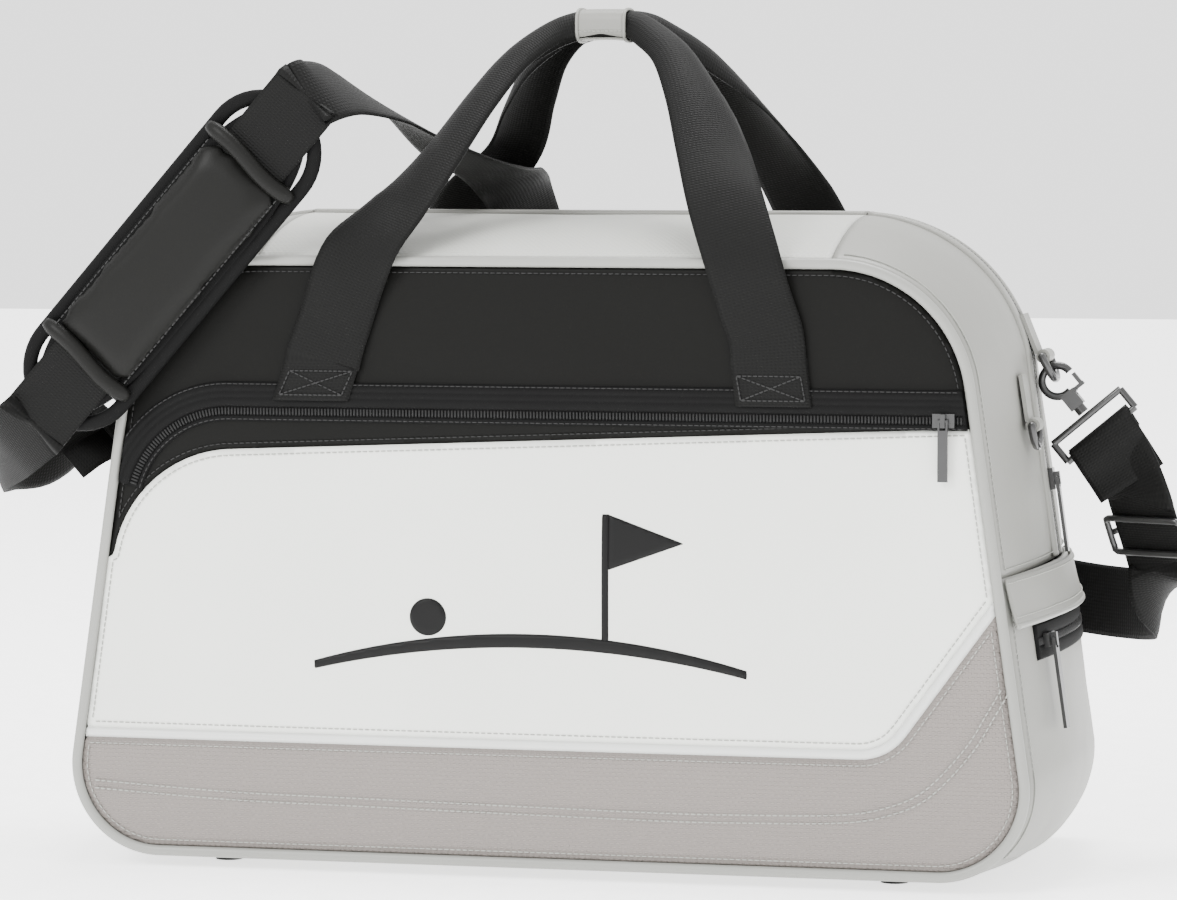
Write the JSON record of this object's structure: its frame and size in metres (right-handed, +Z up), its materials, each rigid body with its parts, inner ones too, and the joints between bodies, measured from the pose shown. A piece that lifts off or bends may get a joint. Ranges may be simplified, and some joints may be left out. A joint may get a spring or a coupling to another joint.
{
  "type": "golf shoe bag",
  "caption": "Structured duffel bag with zipped front and side pockets, twin webbing handles with a wrap, and a clip-on padded shoulder strap.",
  "frame": {"origin": "on the floor, at the centre of the middle foot's flat underside", "axes": "+X to the right seen from the front, +Y to the back, +Z up"},
  "size_m": [0.6263, 0.2661, 0.4382],
  "materials": {
    "pu_black": "smooth black synthetic leather",
    "pu_white": "smooth white synthetic leather",
    "pu_light_grey": "light grey grained synthetic leather",
    "pu_embossed_grey": "warm grey synthetic leather with an embossed dash pattern",
    "piping_grey": "grey bound piping",
    "trim_silver": "silver grey satin trim",
    "film_black": "raised matt black film",
    "zip_tape": "woven zip tape",
    "zip_coil": "nylon coil",
    "hardware_black": "gloss black lacquered metal",
    "webbing_black": "ribbed black webbing",
    "pad_black": "soft black synthetic leather with bound edges",
    "lining": "dark woven lining",
    "board": "plastic board",
    "foot_rubber": "matt rubber"
  },
  "bodies": {
    "shell": {"front_panel_upper": "pu_black", "pocket_panel_white": "pu_white", "pocket_panel_lower": "pu_embossed_grey", "pocket_trim": "trim_silver", "emblem": "film_black", "front_zip_tape": "zip_tape", "front_zip_coil": "zip_coil", "back_panel": "pu_black", "piping_front": "piping_grey", "piping_rear": "piping_grey", "gusset_right": "pu_light_grey", "gusset_left": "pu_light_grey", "side_pocket_right": "pu_light_grey", "side_pocket_left": "pu_light_grey", "side_pocket_flap": "pu_light_grey", "side_zip_tape": "zip_tape", "base_panel": "pu_light_grey", "base_board": "board", "feet": "foot_rubber", "lining": "lining", "main_zip_tape_sides": "pu_light_grey", "handle_patches_front": "webbing_black", "handle_patches_rear": "webbing_black", "strap_tab_right": "pu_light_grey", "strap_tab_left": "pu_light_grey", "accessory_tab": "pu_light_grey"},
    "top_flap_front": {"top_panel_front": "pu_light_grey", "main_zip_tape_front": "pu_light_grey"},
    "top_flap_rear": {"top_panel_rear": "pu_light_grey", "main_zip_tape_rear": "pu_light_grey"},
    "main_slider": {"main_zip_slider": "hardware_black"},
    "main_pull": {"main_zip_pull": "hardware_black"},
    "front_slider": {"front_zip_slider": "hardware_black"},
    "front_pull": {"front_zip_pull": "hardware_black"},
    "side_slider": {"side_zip_slider": "hardware_black"},
    "side_pull": {"side_zip_pull": "hardware_black"},
    "front_handle": {"front_handle_webbing": "webbing_black", "handle_keeper": "pu_light_grey"},
    "rear_handle": {"rear_handle_webbing": "webbing_black"},
    "ring_right": {"strap_ring_right": "hardware_black"},
    "ring_left": {"strap_ring_left": "hardware_black"},
    "ring_accessory": {"accessory_ring": "hardware_black"},
    "strap": {"strap_webbing": "webbing_black", "hook_right": "hardware_black", "hook_left": "hardware_black"},
    "gate_right": {"hook_gate_right": "hardware_black"},
    "gate_left": {"hook_gate_left": "hardware_black"},
    "glide": {"tri_glide": "hardware_black"},
    "pad": {"strap_pad": "pad_black"}
  },
  "joints": [
    {"name": "top_front_open", "type": "hinge", "parent": "shell", "child": "top_flap_front", "pos_m": [0, -0.1016, 0.31527], "axis": [1, 0, 0], "range_deg": [0, 12]},
    {"name": "top_rear_open", "type": "hinge", "parent": "shell", "child": "top_flap_rear", "pos_m": [0, 0.1016, 0.31527], "axis": [-1, 0, 0], "range_deg": [0, 12]},
    {"name": "main_zip_run", "type": "slide", "parent": "shell", "child": "main_slider", "axis": [-0.1422, 0, 0.9898], "range_m": [0, 0.005]},
    {"name": "main_pull_swing", "type": "hinge", "parent": "main_slider", "child": "main_pull", "pos_m": [0.24485, 0.01, 0.19947], "axis": [0, -1, 0], "range_deg": [0, 40]},
    {"name": "front_zip_run", "type": "slide", "parent": "shell", "child": "front_slider", "axis": [-1, 0, 0], "range_m": [0, 0.33]},
    {"name": "front_pull_swing", "type": "hinge", "parent": "front_slider", "child": "front_pull", "pos_m": [0.205, -0.1102, 0.235], "axis": [-1, 0, 0], "range_deg": [0, 90]},
    {"name": "side_zip_run", "type": "slide", "parent": "shell", "child": "side_slider", "axis": [0.1583, 0.9871, 0.0227], "range_m": [0, 0.012]},
    {"name": "side_pull_swing", "type": "hinge", "parent": "side_slider", "child": "side_pull", "pos_m": [0.25422, -0.06267, 0.12427], "axis": [-0.1583, -0.9871, -0.0227], "range_deg": [0, 80]},
    {"name": "front_handle_fold", "type": "hinge", "parent": "shell", "child": "front_handle", "pos_m": [0, -0.1096, 0.263], "axis": [1, 0, 0], "range_deg": [0, 100]},
    {"name": "rear_handle_fold", "type": "hinge", "parent": "shell", "child": "rear_handle", "pos_m": [0, 0.1096, 0.263], "axis": [-1, 0, 0], "range_deg": [0, 100]},
    {"name": "ring_right_swing", "type": "hinge", "parent": "shell", "child": "ring_right", "pos_m": [0.238, 0.012, 0.262], "axis": [0, -1, 0], "range_deg": [-5, 5]},
    {"name": "ring_left_swing", "type": "hinge", "parent": "shell", "child": "ring_left", "pos_m": [-0.238, 0.012, 0.262], "axis": [0, 1, 0], "range_deg": [-5, 5]},
    {"name": "accessory_ring_swing", "type": "hinge", "parent": "shell", "child": "ring_accessory", "pos_m": [0.2388, -0.03, 0.229], "axis": [0, -1, 0], "range_deg": [0, 80]},
    {"name": "strap_swing", "type": "hinge", "parent": "shell", "child": "strap", "pos_m": [0, 0.012, 0.249], "axis": [-1, 0, 0], "range_deg": [0, 5]},
    {"name": "gate_right_open", "type": "hinge", "parent": "strap", "child": "gate_right", "pos_m": [0.25355, 0.012, 0.24452], "axis": [0, -1, 0], "range_deg": [0, 20], "stiffness_Nm_per_rad": 0.004, "springref_deg": -11.46},
    {"name": "gate_left_open", "type": "hinge", "parent": "strap", "child": "gate_left", "pos_m": [-0.25355, 0.012, 0.24452], "axis": [0, 1, 0], "range_deg": [0, 20], "stiffness_Nm_per_rad": 0.004, "springref_deg": -11.46},
    {"name": "strap_length_adjust", "type": "slide", "parent": "strap", "child": "glide", "axis": [0.1991, 0.4646, -0.8628], "range_m": [-0.004, 0.004]},
    {"name": "pad_slide", "type": "slide", "parent": "strap", "child": "pad", "axis": [0.6561, 0, 0.7547], "range_m": [-0.005, 0.005]}
  ]
}
